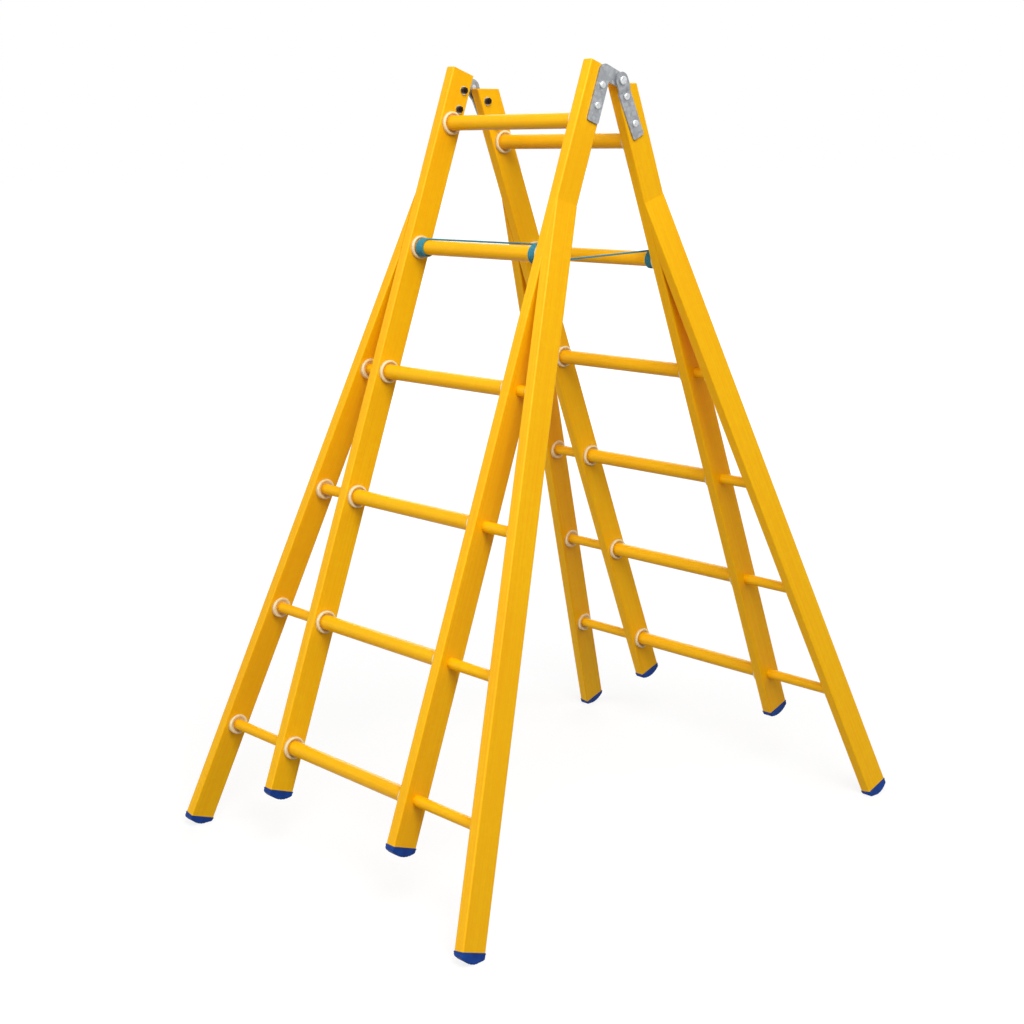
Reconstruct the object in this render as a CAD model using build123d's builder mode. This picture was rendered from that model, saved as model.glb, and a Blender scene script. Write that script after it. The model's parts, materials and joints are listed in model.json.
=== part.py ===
"""Folding A-frame ladder in glass-fibre box section, with splayed legs that widen its base.

Millimetres, +Z up. +X runs along the rungs, +Y from the front half to the back half. The origin is on the
floor, midway between the four feet. The meeting faces of the two halves would touch along one line, the apex.
A place on a half is given by its distance down the slope from the apex and its depth from the meeting face.
"""

import math
import os

from build123d import *

# Stance of the two halves and of the legs
LEAN = 20.0
LEG_SPLAY = 10.0
INNER_WIDTH = 400.0
HALVES = {"front": -1, "back": 1}
SIDES = {"left": -1, "right": 1}

# Box section of the stiles and legs
SECTION_WIDTH = 25.0
SECTION_DEPTH = 60.0
SECTION_WALL = 3.0
SECTION_CORNER = 3.0
BORE_CORNER = 1.0

# Rungs, as distances down the slope
RUNG_COUNT = 6
FIRST_RUNG = {"front": 118.0, "back": 162.0}
RUNG_PITCH = {"front": 280.0, "back": 266.0}
RUNG_DIAMETER = 32.0
FIT_GAP = 0.05

# Ends of the stiles
STILE_TOP = {"front": 0.0, "back": 28.0}
STILE_HEAD = 45.0
STILE_BELOW_RUNGS = 96.0
TOP_ROUND = 2.0

# Legs: where they part from the stiles, where their tubes end, and the blunt tip of the scarf
LEG_PARTING = 428.0
LEG_END = 1742.0
SCARF_TIP = 1.0
SCARF_SOLID = 40.0

# Stub rungs, which plug into the rungs from the third one down
FIRST_STUB_RUNG = 2
STUB_DIAMETER = 23.0
STUB_GRIP = 100.0

# Collars
RUNG_COLLAR_DIAMETER = 50.0
STUB_COLLAR_DIAMETER = 45.0
COLLAR_HEIGHT = 8.0
COLLAR_ROUND = 2.5

# End caps and feet: a low wall under the tube, with a sole that arches through the depth and wears flat
SOLE_WALL = 10.0
SOLE_BULGE = 10.0
SOLE_WORN = 1.0
PLUG_LENGTH = 40.0
PLUG_GAP = 0.1

# Hinge: the pivot lies below the apex and towards the back half, whose straps run straight to it
PIVOT_DROP = 22.0
PIVOT_SET_BACK = 22.0
STRAP_THICKNESS = 4.0
STRAP_WIDTH = 32.0
STRAP_CORNER = 5.0
STRAP_HEAD_DOWN = 13.0
STRAP_INSET = {"front": 19.0, "back": 25.0}
STRAP_END = {"front": 118.0, "back": 153.0}
STRAP_BOLTS = {"front": (40.0, 83.0), "back": (63.0, 122.0)}
EAR_RADIUS = {"front": 15.0, "back": 17.0}
EAR_RELIEF = 0.5
RELIEF_RADIUS = 24.0
EAR_GAP = 0.3
JOGGLE_SPAN = (45.5, 54.5)
PIN_RADIUS = 5.0
PIN_PRESS_GAP = 0.02
PIN_RUN_GAP = 0.05
PIN_HEAD_RADIUS = 9.0
PIN_HEAD_HEIGHT = 5.0

# Strap bolts, nuts and washers
BOLT_RADIUS = 4.0
BOLT_HEAD_RADIUS = 7.5
BOLT_HEAD_HEIGHT = 5.0
BOLT_STAND_OUT = 2.5
HEAD_ROUND = 3.0
NUT_RADIUS = 7.5
NUT_SIDES = 6
NUT_HEIGHT = 6.5
WASHER_RADIUS = 9.0
WASHER_HEIGHT = 1.6

# Spreader cords, wound on the second rungs
CORD_RUNG = 1
CORD_DIAMETER = 4.0
CORD_SEAT_GAP = 0.1
WIND_PITCH = 4.6
WIND_HALF_TURNS = 9
WIND_CLEAR_OF_COLLAR = 3.0
CORD_LEAVES_TOP = {"left": True, "right": False}
CORD_END_GAP = 0.3
GAP_STEP = 1.5

# Worked-out values
SIN_LEAN = math.sin(math.radians(LEAN))
COS_LEAN = math.cos(math.radians(LEAN))
SIN_SPLAY = math.sin(math.radians(LEG_SPLAY))
COS_SPLAY = math.cos(math.radians(LEG_SPLAY))
TAN_SPLAY = math.tan(math.radians(LEG_SPLAY))
MID_DEPTH = SECTION_DEPTH / 2
SOLE_RADIUS = (MID_DEPTH**2 + SOLE_BULGE**2) / (2 * SOLE_BULGE)
SOLE_CENTRE_DOWN = LEG_END + SOLE_WALL + SOLE_BULGE - SOLE_RADIUS
APEX_HEIGHT = SOLE_CENTRE_DOWN * COS_LEAN - MID_DEPTH * SIN_LEAN + SOLE_RADIUS - SOLE_WORN
APEX = Vector(0, 0, APEX_HEIGHT)
ALONG = Vector(1, 0, 0)
INNER_FACE = INNER_WIDTH / 2
OUTER_FACE = INNER_FACE + SECTION_WIDTH
RUNG_END = OUTER_FACE - SECTION_WALL
STUB_BORE = STUB_DIAMETER / 2 + FIT_GAP
RUNG_HOLE = RUNG_DIAMETER / 2 + FIT_GAP
BOLT_HOLE = BOLT_RADIUS + FIT_GAP
LEG_SPAN = SECTION_WIDTH / COS_SPLAY
SCARF_TOP = LEG_PARTING - (LEG_SPAN - SCARF_TIP) / TAN_SPLAY
STRAP_FACE = OUTER_FACE + STRAP_THICKNESS
EYE_FACE = STRAP_FACE + EAR_GAP
WIND_RADIUS = (RUNG_DIAMETER + CORD_DIAMETER) / 2 + CORD_SEAT_GAP
WIND_OUTER_END = INNER_FACE - COLLAR_HEIGHT - WIND_CLEAR_OF_COLLAR
WIND_EXIT = WIND_OUTER_END - WIND_PITCH * WIND_HALF_TURNS / 2


def up_slope(half):
    """Direction up the stiles of a half."""
    return Vector(0, -HALVES[half] * SIN_LEAN, COS_LEAN)


def through_depth(half):
    """Direction from the front to the back through a half's depth."""
    return Vector(0, COS_LEAN, HALVES[half] * SIN_LEAN)


def depth_at(half, depth):
    """Place along through_depth of a depth measured outward from the meeting face."""
    return HALVES[half] * depth


def section_plane(half, down):
    """Plane square to the stiles, a distance down the slope: x along the rungs, y through the depth."""
    return Plane(origin=APEX - up_slope(half) * down, x_dir=ALONG, z_dir=up_slope(half))


def side_plane(half, x):
    """Upright plane square to the rungs: x through the depth, y up the slope, from the apex."""
    return Plane(origin=APEX + ALONG * x, x_dir=through_depth(half), z_dir=ALONG)


def edge_plane(half):
    """Plane along the meeting face: x along the rungs, y up the slope, from the apex."""
    return Plane(origin=APEX, x_dir=ALONG, z_dir=through_depth(half) * -1)


def stile_plane(half, side, down):
    """Plane square to a stile, on its centre line a distance down the slope, facing up the stile."""
    level = section_plane(half, down)
    across = ALONG * SIDES[side] * (INNER_FACE + SECTION_WIDTH / 2)
    origin = level.origin + across + through_depth(half) * depth_at(half, MID_DEPTH)
    return Plane(origin=origin, x_dir=ALONG, z_dir=up_slope(half))


def leg_plane(half, side, down):
    """Plane square to a leg, on its centre line a distance down the slope, facing up the leg."""
    sign = SIDES[side]
    middle = leg_inner(down) + LEG_SPAN / 2
    origin = (
        APEX
        - up_slope(half) * down
        + ALONG * sign * middle
        + through_depth(half) * depth_at(half, MID_DEPTH)
    )
    outward = ALONG * COS_SPLAY + up_slope(half) * sign * SIN_SPLAY
    upward = up_slope(half) * COS_SPLAY - ALONG * sign * SIN_SPLAY
    return Plane(origin=origin, x_dir=outward, z_dir=upward)


def leg_wall_plane(half, side, depth_of_wall):
    """Plane along a leg's side walls, facing outward, a distance in from its inner face."""
    square = leg_plane(half, side, LEG_END)
    origin = square.origin + square.x_dir * SIDES[side] * (depth_of_wall - SECTION_WIDTH / 2)
    return Plane(origin=origin, x_dir=through_depth(half), z_dir=square.x_dir * SIDES[side])


def leg_inner(down):
    """Distance of a leg's inner face from the ladder's middle."""
    return OUTER_FACE + TAN_SPLAY * (down - LEG_PARTING)


def rung_down(half, index):
    """Distance of a rung down the slope."""
    return FIRST_RUNG[half] + RUNG_PITCH[half] * index


def rung_spot(half, index):
    """A rung's centre on a side plane."""
    return (depth_at(half, MID_DEPTH), -rung_down(half, index))


def stile_end(half):
    """Distance of the stiles' lower ends down the slope."""
    return rung_down(half, RUNG_COUNT - 1) + STILE_BELOW_RUNGS


def stub_rungs():
    """The rungs that carry stubs."""
    return range(FIRST_STUB_RUNG, RUNG_COUNT)


def pivot_spot(half):
    """Place of the hinge pin on a side plane."""
    depth = HALVES[half] * PIVOT_SET_BACK * COS_LEAN - PIVOT_DROP * SIN_LEAN
    down = HALVES[half] * PIVOT_SET_BACK * SIN_LEAN + PIVOT_DROP * COS_LEAN
    return (depth_at(half, depth), -down)


def strap_head(half):
    """Upper end of a strap's centre line on a side plane: beside the arm in front, at the pivot behind."""
    if half == "front":
        return (depth_at(half, STRAP_INSET[half]), -STRAP_HEAD_DOWN)
    return pivot_spot(half)


def strap_spot(half, down):
    """Place on a strap's centre line, on a side plane, at a distance down the slope."""
    head_depth, head_height = strap_head(half)
    share = (down + head_height) / (STRAP_END[half] + head_height)
    return (head_depth + (depth_at(half, STRAP_INSET[half]) - head_depth) * share, -down)


def strap_corners(half):
    """Centres of the rounded corners at a strap's lower end, on a side plane."""
    end = Vector(*strap_spot(half, STRAP_END[half]))
    along = (end - Vector(*strap_head(half))).normalized()
    across = along.rotate(Axis.Z, 90) * (STRAP_WIDTH / 2 - STRAP_CORNER)
    middle = end - along * STRAP_CORNER
    return [middle + across, middle - across]


def bolt_spots(half):
    """Places of the strap bolts on a side plane."""
    return [strap_spot(half, down) for down in STRAP_BOLTS[half]]


def sole_points(half, end):
    """Heel, crown and toe of the arched sole under a tube's end, on a side plane."""
    heel = (depth_at(half, 0), -end - SOLE_WALL)
    crown = (depth_at(half, MID_DEPTH), -end - SOLE_WALL - SOLE_BULGE)
    toe = (depth_at(half, SECTION_DEPTH), -end - SOLE_WALL)
    return heel, crown, toe


def box_section(inset=0.0):
    """Sketch the outline of the box section, drawn in by an inset."""
    corner = max(SECTION_CORNER - inset, BORE_CORNER)
    RectangleRounded(SECTION_WIDTH - 2 * inset, SECTION_DEPTH - 2 * inset, corner)


def save(part, node):
    """Label a finished piece and write it."""
    part.label = node
    export_step(part, f"parts/{node}.step")


def make_stile(half, side):
    """Hollow stile with a closed head and holes for its rungs, stubs and strap bolts."""
    sign = SIDES[side]
    centre = (sign * (INNER_FACE + SECTION_WIDTH / 2), depth_at(half, MID_DEPTH))
    with BuildPart() as stile:
        with BuildSketch(section_plane(half, stile_end(half))):
            with Locations(centre):
                box_section()
        extrude(amount=stile_end(half) + STILE_HEAD)
        if half == "front":
            split(bisect_by=section_plane(half, STILE_TOP[half]), keep=Keep.BOTTOM)
        else:
            level = APEX_HEIGHT - STILE_TOP[half] * COS_LEAN
            split(bisect_by=Plane.XY.offset(level), keep=Keep.BOTTOM)
        fillet(stile.faces().sort_by(Axis.Z)[-1].edges(), TOP_ROUND)
        with BuildSketch(section_plane(half, stile_end(half))):
            with Locations(centre):
                box_section(SECTION_WALL)
        extrude(amount=stile_end(half) - STILE_TOP[half] - STILE_HEAD, mode=Mode.SUBTRACT)
        with BuildSketch(side_plane(half, sign * INNER_FACE)):
            with Locations(*[rung_spot(half, index) for index in range(RUNG_COUNT)]):
                Circle(RUNG_HOLE)
        extrude(amount=sign * (RUNG_END - INNER_FACE), mode=Mode.SUBTRACT)
        with BuildSketch(side_plane(half, sign * RUNG_END)):
            with Locations(*[rung_spot(half, index) for index in stub_rungs()]):
                Circle(STUB_BORE)
        extrude(amount=sign * SECTION_WALL, mode=Mode.SUBTRACT)
        with BuildSketch(side_plane(half, sign * INNER_FACE)):
            with Locations(*bolt_spots(half)):
                Circle(BOLT_HOLE)
        extrude(amount=sign * SECTION_WIDTH, mode=Mode.SUBTRACT)
    return stile.part


def make_rung(half, index):
    """Rung tube that passes through the inner walls of both stiles."""
    with BuildPart() as rung:
        with BuildSketch(side_plane(half, 0)):
            with Locations(rung_spot(half, index)):
                Circle(RUNG_DIAMETER / 2)
                Circle(STUB_BORE, mode=Mode.SUBTRACT)
        extrude(amount=RUNG_END, both=True)
    return rung.part


def make_rung_collars(half, side):
    """Rings round the rungs on one stile's inner face."""
    sign = SIDES[side]
    with BuildPart() as collars:
        with BuildSketch(side_plane(half, sign * INNER_FACE)):
            with Locations(*[rung_spot(half, index) for index in range(RUNG_COUNT)]):
                Circle(RUNG_COLLAR_DIAMETER / 2)
                Circle(RUNG_HOLE, mode=Mode.SUBTRACT)
        extrude(amount=-sign * COLLAR_HEIGHT)
        rims = collars.edges().filter_by(GeomType.CIRCLE).group_by(SortBy.RADIUS)[-1]
        free_rims = [rim for rim in rims if abs(rim.arc_center.X) < INNER_FACE - COLLAR_HEIGHT / 2]
        fillet(free_rims, COLLAR_ROUND)
    return collars.part


def make_leg(half, side):
    """Splayed leg: a tube whose solid top is scarf-cut to lie on the stile's outer face."""
    sign = SIDES[side]
    foot_end = leg_plane(half, side, LEG_END)
    hollow = (LEG_END - LEG_PARTING - SCARF_SOLID) / COS_SPLAY
    length = (LEG_END - SCARF_TOP + SCARF_SOLID) / COS_SPLAY
    with BuildPart() as leg:
        with BuildSketch(foot_end):
            box_section()
        extrude(amount=length)
        split(bisect_by=Plane(origin=ALONG * sign * OUTER_FACE, z_dir=ALONG * sign), keep=Keep.TOP)
        split(bisect_by=section_plane(half, SCARF_TOP), keep=Keep.BOTTOM)
        with BuildSketch(foot_end):
            box_section(SECTION_WALL)
        extrude(amount=hollow, mode=Mode.SUBTRACT)
        for index in stub_rungs():
            middle = leg_inner(rung_down(half, index)) + LEG_SPAN / 2
            with BuildSketch(side_plane(half, sign * middle)):
                with Locations(rung_spot(half, index)):
                    Circle(STUB_BORE)
            extrude(amount=-sign * SECTION_WIDTH, mode=Mode.SUBTRACT)
    return leg.part


def make_stubs(half, side):
    """Stub rungs from inside the rungs' bores to the outer wall of one leg."""
    sign = SIDES[side]
    with BuildPart() as stubs:
        with BuildSketch(side_plane(half, sign * (OUTER_FACE - STUB_GRIP))):
            with Locations(*[rung_spot(half, index) for index in stub_rungs()]):
                Circle(STUB_DIAMETER / 2)
        extrude(amount=sign * (leg_inner(LEG_END) + LEG_SPAN - OUTER_FACE + STUB_GRIP))
        split(bisect_by=leg_wall_plane(half, side, SECTION_WIDTH - SECTION_WALL), keep=Keep.BOTTOM)
    return stubs.part


def make_stub_collars(half, side):
    """Rings round the stub rungs, bevelled to seat on one leg's inner face."""
    sign = SIDES[side]
    with BuildPart() as collars:
        for index in stub_rungs():
            free_face = leg_inner(rung_down(half, index)) - COLLAR_HEIGHT
            with BuildSketch(side_plane(half, sign * free_face)):
                with Locations(rung_spot(half, index)):
                    Circle(STUB_COLLAR_DIAMETER / 2)
                    Circle(STUB_BORE, mode=Mode.SUBTRACT)
            extrude(amount=sign * SECTION_WIDTH)
        split(bisect_by=leg_wall_plane(half, side, 0), keep=Keep.BOTTOM)
        free_rims = collars.edges().filter_by(GeomType.CIRCLE).group_by(SortBy.RADIUS)[-1]
        fillet(free_rims, COLLAR_ROUND)
    return collars.part


def make_end_piece(half, side, end_plane, end):
    """Moulding on a tube's lower end: a low wall with an arched sole, and its plug inside the tube."""
    heel, crown, toe = sole_points(half, end)
    top = SECTION_DEPTH - end
    with BuildPart() as moulding:
        with BuildSketch(end_plane):
            box_section()
        extrude(amount=-SECTION_DEPTH)
        with BuildSketch(side_plane(half, 0)):
            with BuildLine():
                Polyline(heel, (heel[0], top), (toe[0], top), toe)
                ThreePointArc(toe, crown, heel)
            make_face()
        extrude(amount=SIDES[side] * APEX_HEIGHT, mode=Mode.INTERSECT)
        with BuildSketch(end_plane):
            box_section(SECTION_WALL + PLUG_GAP)
        extrude(amount=PLUG_LENGTH)
    return moulding.part


def make_cap(half, side):
    """Cap on a stile's lower end, which hangs clear of the floor."""
    end = stile_end(half)
    return make_end_piece(half, side, stile_plane(half, side, end), end)


def make_foot(half, side):
    """Foot under a leg, worn flat where it stands on the floor."""
    moulding = make_end_piece(half, side, leg_plane(half, side, LEG_END), LEG_END)
    with BuildPart() as foot:
        add(moulding)
        split(bisect_by=Plane.XY, keep=Keep.TOP)
    return foot.part


def front_strap_outline():
    """Sketch a front strap: an arm from the round ear at the pivot to a bar with a square end."""
    with Locations(pivot_spot("front")):
        ear = Circle(EAR_RADIUS["front"])
    with Locations(strap_head("front")):
        head = Circle(STRAP_WIDTH / 2)
    with Locations(*strap_corners("front")):
        corners = Circle(STRAP_CORNER)
    make_hull(ear.edges() + head.edges())
    make_hull(head.edges() + corners.edges())


def back_strap_outline():
    """Sketch a back strap: a straight bar from the round eye at the pivot to a square end."""
    with Locations(pivot_spot("back")):
        Circle(EAR_RADIUS["back"])
    with Locations(*strap_corners("back")):
        Circle(STRAP_CORNER)
    make_hull()


def strap_holes(half, pin_gap):
    """Sketch a strap's pivot hole and bolt holes."""
    with Locations(pivot_spot(half)):
        Circle(PIN_RADIUS + pin_gap)
    with Locations(*bolt_spots(half)):
        Circle(BOLT_HOLE)


def make_front_strap(side):
    """Flat strap whose ear lies inside the other strap's eye, relieved to clear the back stile."""
    sign = SIDES[side]
    with BuildPart() as strap:
        with BuildSketch(side_plane("front", sign * OUTER_FACE)):
            front_strap_outline()
        extrude(amount=sign * STRAP_THICKNESS)
        with BuildSketch(side_plane("front", sign * OUTER_FACE)):
            with Locations(pivot_spot("front")):
                Circle(RELIEF_RADIUS)
        extrude(amount=sign * EAR_RELIEF, mode=Mode.SUBTRACT)
        with BuildSketch(side_plane("front", sign * OUTER_FACE)):
            strap_holes("front", PIN_PRESS_GAP)
        extrude(amount=sign * STRAP_THICKNESS, mode=Mode.SUBTRACT)
    return strap.part


def make_back_strap(side):
    """Joggled strap whose eye stands out over the front strap's ear."""
    sign = SIDES[side]
    high, low = JOGGLE_SPAN
    reach = STRAP_END["back"] + STRAP_WIDTH
    rise = STRAP_WIDTH
    step = EYE_FACE - OUTER_FACE
    with BuildPart() as strap:
        with BuildSketch(edge_plane("back")):
            with BuildLine():
                Polyline(
                    (sign * OUTER_FACE, -reach),
                    (sign * OUTER_FACE, -low),
                    (sign * (OUTER_FACE + step), -high),
                    (sign * (OUTER_FACE + step), rise),
                    (sign * (STRAP_FACE + step), rise),
                    (sign * (STRAP_FACE + step), -high),
                    (sign * STRAP_FACE, -low),
                    (sign * STRAP_FACE, -reach),
                    close=True,
                )
            make_face()
        extrude(amount=SECTION_DEPTH, both=True)
        with BuildSketch(side_plane("back", sign * INNER_FACE)):
            back_strap_outline()
        extrude(amount=sign * SECTION_DEPTH, mode=Mode.INTERSECT)
        with BuildSketch(side_plane("back", sign * OUTER_FACE)):
            strap_holes("back", PIN_RUN_GAP)
        extrude(amount=sign * SECTION_WIDTH, mode=Mode.SUBTRACT)
    return strap.part


def make_hinge_pin(side):
    """Headed pin, fast in the front strap's ear and free in the back strap's eye."""
    sign = SIDES[side]
    ear = OUTER_FACE + EAR_RELIEF
    head = EYE_FACE + STRAP_THICKNESS + EAR_GAP
    with BuildPart() as pin:
        with BuildSketch(side_plane("front", sign * ear)):
            with Locations(pivot_spot("front")):
                Circle(PIN_RADIUS)
        extrude(amount=sign * (head - ear))
        with BuildSketch(side_plane("front", sign * head)):
            with Locations(pivot_spot("front")):
                Circle(PIN_HEAD_RADIUS)
        extrude(amount=sign * PIN_HEAD_HEIGHT)
        crown = pin.edges().group_by(Axis.X)[-1 if sign > 0 else 0]
        fillet(crown, HEAD_ROUND)
    return pin.part


def make_strap_bolts(half):
    """Domed bolts that hold both straps of a half to its stiles."""
    tail = INNER_FACE - WASHER_HEIGHT - NUT_HEIGHT - BOLT_STAND_OUT
    with BuildPart() as bolts:
        for sign in SIDES.values():
            with BuildSketch(side_plane(half, sign * STRAP_FACE)):
                with Locations(*bolt_spots(half)):
                    Circle(BOLT_RADIUS)
            extrude(amount=-sign * (STRAP_FACE - tail))
            with BuildSketch(side_plane(half, sign * STRAP_FACE)):
                with Locations(*bolt_spots(half)):
                    Circle(BOLT_HEAD_RADIUS)
            extrude(amount=sign * BOLT_HEAD_HEIGHT)
        by_reach = bolts.edges().filter_by(GeomType.CIRCLE).group_by(Axis.X)
        fillet(by_reach[0] + by_reach[-1], HEAD_ROUND)
    return bolts.part


def make_strap_nuts(half):
    """Hexagon nuts on the strap bolts, inside the stiles."""
    with BuildPart() as nuts:
        for sign in SIDES.values():
            with BuildSketch(side_plane(half, sign * (INNER_FACE - WASHER_HEIGHT))):
                with Locations(*bolt_spots(half)):
                    RegularPolygon(NUT_RADIUS, NUT_SIDES)
                    Circle(BOLT_HOLE, mode=Mode.SUBTRACT)
            extrude(amount=-sign * NUT_HEIGHT)
    return nuts.part


def make_strap_washers(half):
    """Washers between the nuts and the stiles' inner faces."""
    with BuildPart() as washers:
        for sign in SIDES.values():
            with BuildSketch(side_plane(half, sign * INNER_FACE)):
                with Locations(*bolt_spots(half)):
                    Circle(WASHER_RADIUS)
                    Circle(BOLT_HOLE, mode=Mode.SUBTRACT)
            extrude(amount=-sign * WASHER_HEIGHT)
    return washers.part


def rung_centre(half, index):
    """A rung's centre in the ladder's middle plane."""
    depth, height = rung_spot(half, index)
    return APEX + through_depth(half) * depth + up_slope(half) * height


def cord_run(side):
    """Direction of a taut cord from front to back, and the outward direction where it leaves each winding."""
    span = rung_centre("back", CORD_RUNG) - rung_centre("front", CORD_RUNG)
    ahead = span.normalized()
    above = ALONG.cross(ahead)
    if CORD_LEAVES_TOP[side]:
        return ahead, {"front": above, "back": above}
    lean_back = 2 * WIND_RADIUS / span.length
    out_back = above * math.sqrt(1 - lean_back**2) - ahead * lean_back
    direction = (span + out_back * 2 * WIND_RADIUS).normalized()
    return direction, {"front": out_back * -1, "back": out_back}


def winding_points(half, side):
    """Turning points and mid points of a winding's half turns, from the cord, and the leaving direction."""
    direction, outward = cord_run(side)
    leaving = direction * -HALVES[half]
    out = outward[half]
    centre = rung_centre(half, CORD_RUNG)
    turns = []
    for step in range(WIND_HALF_TURNS + 1):
        place = SIDES[side] * (WIND_EXIT + WIND_PITCH / 2 * step)
        turns.append(centre + ALONG * place + out * WIND_RADIUS * (-1) ** step)
    mids = []
    for step in range(WIND_HALF_TURNS):
        chord = turns[step + 1] - turns[step]
        middle = (turns[step] + turns[step + 1]) * 0.5
        mids.append(middle - leaving * (chord.length / 2) * (-1) ** step)
    return turns, mids, leaving


def make_winding(half, side):
    """Cord wound on a rung beside its collar, one unbroken tube of half turns with straight ends."""
    turns, mids, leaving = winding_points(half, side)
    start = turns[0] + leaving * CORD_DIAMETER
    finish = turns[-1] - leaving * CORD_DIAMETER * (-1) ** WIND_HALF_TURNS
    with BuildPart() as winding:
        with BuildLine() as route:
            Line(start, turns[0])
            for step, mid in enumerate(mids):
                ThreePointArc(turns[step], mid, turns[step + 1])
            Line(turns[-1], finish)
        with BuildSketch(Plane(origin=start, x_dir=ALONG, z_dir=leaving * -1)):
            Circle(CORD_DIAMETER / 2)
        sweep(path=route.wires()[0])
    print(f"winding {half} {side}: least gap to itself {winding_gap(route.wires()[0]):.2f} mm")
    return winding.part


def winding_gap(route):
    """Least clear gap of a winding to itself, on points at least half a turn apart along it."""
    count = int(route.length / GAP_STEP)
    points = [route.position_at(step * GAP_STEP, PositionMode.LENGTH) for step in range(count)]
    half_turn = int(math.pi * WIND_RADIUS / GAP_STEP)
    distances = []
    for first in range(count):
        for second in range(first + half_turn, count):
            distances.append((points[first] - points[second]).length)
    return min(distances) - CORD_DIAMETER


def make_cord(side):
    """Taut cord between the two windings of one side."""
    direction, outward = cord_run(side)
    place = ALONG * SIDES[side] * WIND_EXIT
    front = rung_centre("front", CORD_RUNG) + place + outward["front"] * WIND_RADIUS
    back = rung_centre("back", CORD_RUNG) + place + outward["back"] * WIND_RADIUS
    start = front + direction * CORD_DIAMETER
    length = (back - front).length - 2 * CORD_DIAMETER - CORD_END_GAP
    with BuildPart() as cord:
        with BuildSketch(Plane(origin=start, x_dir=ALONG, z_dir=direction)):
            Circle(CORD_DIAMETER / 2)
        extrude(amount=length)
    print(f"cord {side}: {length:.1f} mm long from {start} to {start + direction * length}")
    return cord.part


os.makedirs("parts", exist_ok=True)

for half in HALVES:
    for index in range(RUNG_COUNT):
        save(make_rung(half, index), f"rung_{half}_{index + 1}")
    save(make_strap_bolts(half), f"strap_bolts_{half}")
    save(make_strap_nuts(half), f"strap_nuts_{half}")
    save(make_strap_washers(half), f"strap_washers_{half}")
    for side in SIDES:
        save(make_stile(half, side), f"stile_{half}_{side}")
        save(make_rung_collars(half, side), f"rung_collars_{half}_{side}")
        save(make_leg(half, side), f"leg_{half}_{side}")
        save(make_stubs(half, side), f"stub_rungs_{half}_{side}")
        save(make_stub_collars(half, side), f"stub_collars_{half}_{side}")
        save(make_cap(half, side), f"stile_cap_{half}_{side}")
        save(make_foot(half, side), f"leg_foot_{half}_{side}")
        save(make_winding(half, side), f"cord_winding_{half}_{side}")

for side in SIDES:
    save(make_front_strap(side), f"hinge_strap_front_{side}")
    save(make_back_strap(side), f"hinge_strap_back_{side}")
    save(make_hinge_pin(side), f"hinge_pin_{side}")
    save(make_cord(side), f"cord_{side}")

print(f"apex height {APEX_HEIGHT:.2f} mm, pivot height {APEX_HEIGHT - PIVOT_DROP:.2f} mm")
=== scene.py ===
"""Looks of the folding A-frame ladder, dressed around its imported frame.

Metres, +Z up. +X runs along the rungs, +Y from the front half to the back half. A place on a half is given by its
distance down the slope from the apex, where the halves' meeting faces would touch, and its depth outward from there.
"""

import json
import logging
import math
from dataclasses import dataclass
from enum import Enum

import bpy
import numpy as np
from mathutils import Matrix, Vector


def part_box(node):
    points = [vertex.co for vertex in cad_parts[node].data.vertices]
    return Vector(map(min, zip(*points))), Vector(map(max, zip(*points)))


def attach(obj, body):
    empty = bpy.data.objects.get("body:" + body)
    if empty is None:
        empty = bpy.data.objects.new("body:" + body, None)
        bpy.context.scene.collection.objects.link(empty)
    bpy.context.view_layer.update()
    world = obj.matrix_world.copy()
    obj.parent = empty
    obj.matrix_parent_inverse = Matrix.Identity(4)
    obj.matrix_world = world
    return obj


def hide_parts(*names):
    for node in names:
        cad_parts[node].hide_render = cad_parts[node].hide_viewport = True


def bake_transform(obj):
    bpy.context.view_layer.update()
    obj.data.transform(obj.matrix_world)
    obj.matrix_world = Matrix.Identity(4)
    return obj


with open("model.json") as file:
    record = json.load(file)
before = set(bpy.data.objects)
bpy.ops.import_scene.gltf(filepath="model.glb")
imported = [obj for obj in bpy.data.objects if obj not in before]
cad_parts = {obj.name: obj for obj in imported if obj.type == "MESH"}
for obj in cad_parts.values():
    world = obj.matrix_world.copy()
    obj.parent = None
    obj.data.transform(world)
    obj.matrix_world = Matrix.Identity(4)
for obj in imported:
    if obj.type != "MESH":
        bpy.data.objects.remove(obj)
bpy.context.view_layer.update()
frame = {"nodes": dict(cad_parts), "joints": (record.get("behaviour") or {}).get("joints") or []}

LOG = logging.getLogger("ladder")
MM = 0.001
ALONG = np.array([1.0, 0.0, 0.0])
WHITE = "#FFFFFF"
# A colour Mix node has sockets of the same name for each kind of value, so they are told apart by number.
SHARE, UNDER, OVER, MIXED = 0, 6, 7, 2


class Half(Enum):
    """The two hinged halves. The value is a half's direction along Y from the hinge."""

    FRONT = -1
    BACK = 1

    @property
    def label(self) -> str:
        """Word for the half in the frame's node names."""
        return self.name.lower()

    @property
    def body(self) -> str:
        """Name of the half's body."""
        return f"{self.label}_half"


class Side(Enum):
    """The two sides, seen from the front. The value is a side's direction along X."""

    LEFT = -1
    RIGHT = 1

    @property
    def label(self) -> str:
        """Word for the side in the frame's node names."""
        return self.name.lower()


class Limb(Enum):
    """The two kinds of tube that stand on end mouldings. The value starts their node names."""

    STILE = "stile"
    LEG = "leg"


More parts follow.
